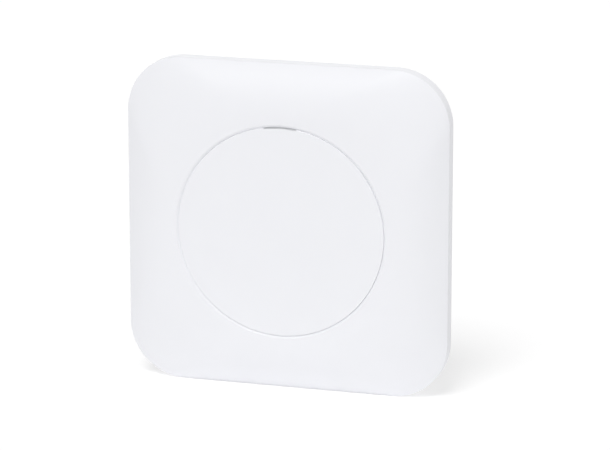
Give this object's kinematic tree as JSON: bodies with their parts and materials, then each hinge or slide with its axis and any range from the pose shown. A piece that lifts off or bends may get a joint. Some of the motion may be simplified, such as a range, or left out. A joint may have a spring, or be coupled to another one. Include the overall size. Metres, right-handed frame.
{
  "type": "ceiling access point",
  "caption": "Square wireless access point with a crowned cover, round centre cover with light slit, port bay, and twist-lock ceiling bracket.",
  "frame": {"origin": "centre of the ceiling bracket's mounting face, on the ceiling plane", "axes": "+Y out of the back, towards the ceiling or wall; +Z towards the light slit's edge; the cover faces -Y and the part stands on its lower edge"},
  "size_m": [0.2, 0.0352, 0.2],
  "materials": {
    "cover_white": "fine satin, off white",
    "rear_white": "fine texture, off white",
    "bracket_white": "moulded, off white",
    "light_guide": "frosted, unlit",
    "steel": "zinc plated",
    "tin_plate": "tin plated sheet",
    "board_green": "solder mask",
    "chip_black": "moulded epoxy",
    "ferrite": "ferrite core",
    "pad_grey": "soft silicone",
    "sink_aluminium": "extruded",
    "can_aluminium": "drawn can",
    "pin_nylon": "nylon",
    "led_white": "clear package",
    "jack_black": "moulded",
    "contact_gold": "gold plated",
    "button_grey": "moulded",
    "label_silver": "blank film"
  },
  "bodies": {
    "access_point": {"front_cover": "cover_white", "centre_cover": "cover_white", "light_guide": "light_guide", "rear_shell": "rear_white", "bayonet_studs": "steel", "main_board": "board_green", "board_screws": "steel", "case_screws": "steel", "processor": "chip_black", "thermal_pad": "pad_grey", "heat_sink": "sink_aluminium", "heat_sink_pins": "pin_nylon", "memory_chips": "chip_black", "radio_chips": "chip_black", "radio_shield_left": "tin_plate", "radio_shield_right": "tin_plate", "status_leds": "led_white", "antennas_24ghz": "tin_plate", "antennas_5ghz": "tin_plate", "ethernet_transformer": "chip_black", "poe_transformer": "ferrite", "capacitors": "can_aluminium", "power_inductor": "ferrite", "ethernet_jack_shell": "tin_plate", "ethernet_jack_insert": "jack_black", "ethernet_contacts": "contact_gold", "dc_jack": "jack_black", "dc_jack_pin": "tin_plate", "reset_switch": "jack_black", "rating_label": "label_silver"},
    "bracket": {"ceiling_bracket": "bracket_white"},
    "reset": {"reset_button": "button_grey", "reset_plunger": "jack_black"}
  },
  "joints": [
    {"name": "bracket_twist", "type": "hinge", "parent": "access_point", "child": "bracket", "pos_m": [0, 0, 0], "axis": [0, -1, 0], "range_deg": [0, 18]},
    {"name": "reset_press", "type": "slide", "parent": "access_point", "child": "reset", "axis": [0, 0, 1], "range_m": [0, 0.0006], "stiffness_N_per_m": 500, "springref_m": -0.0004}
  ]
}
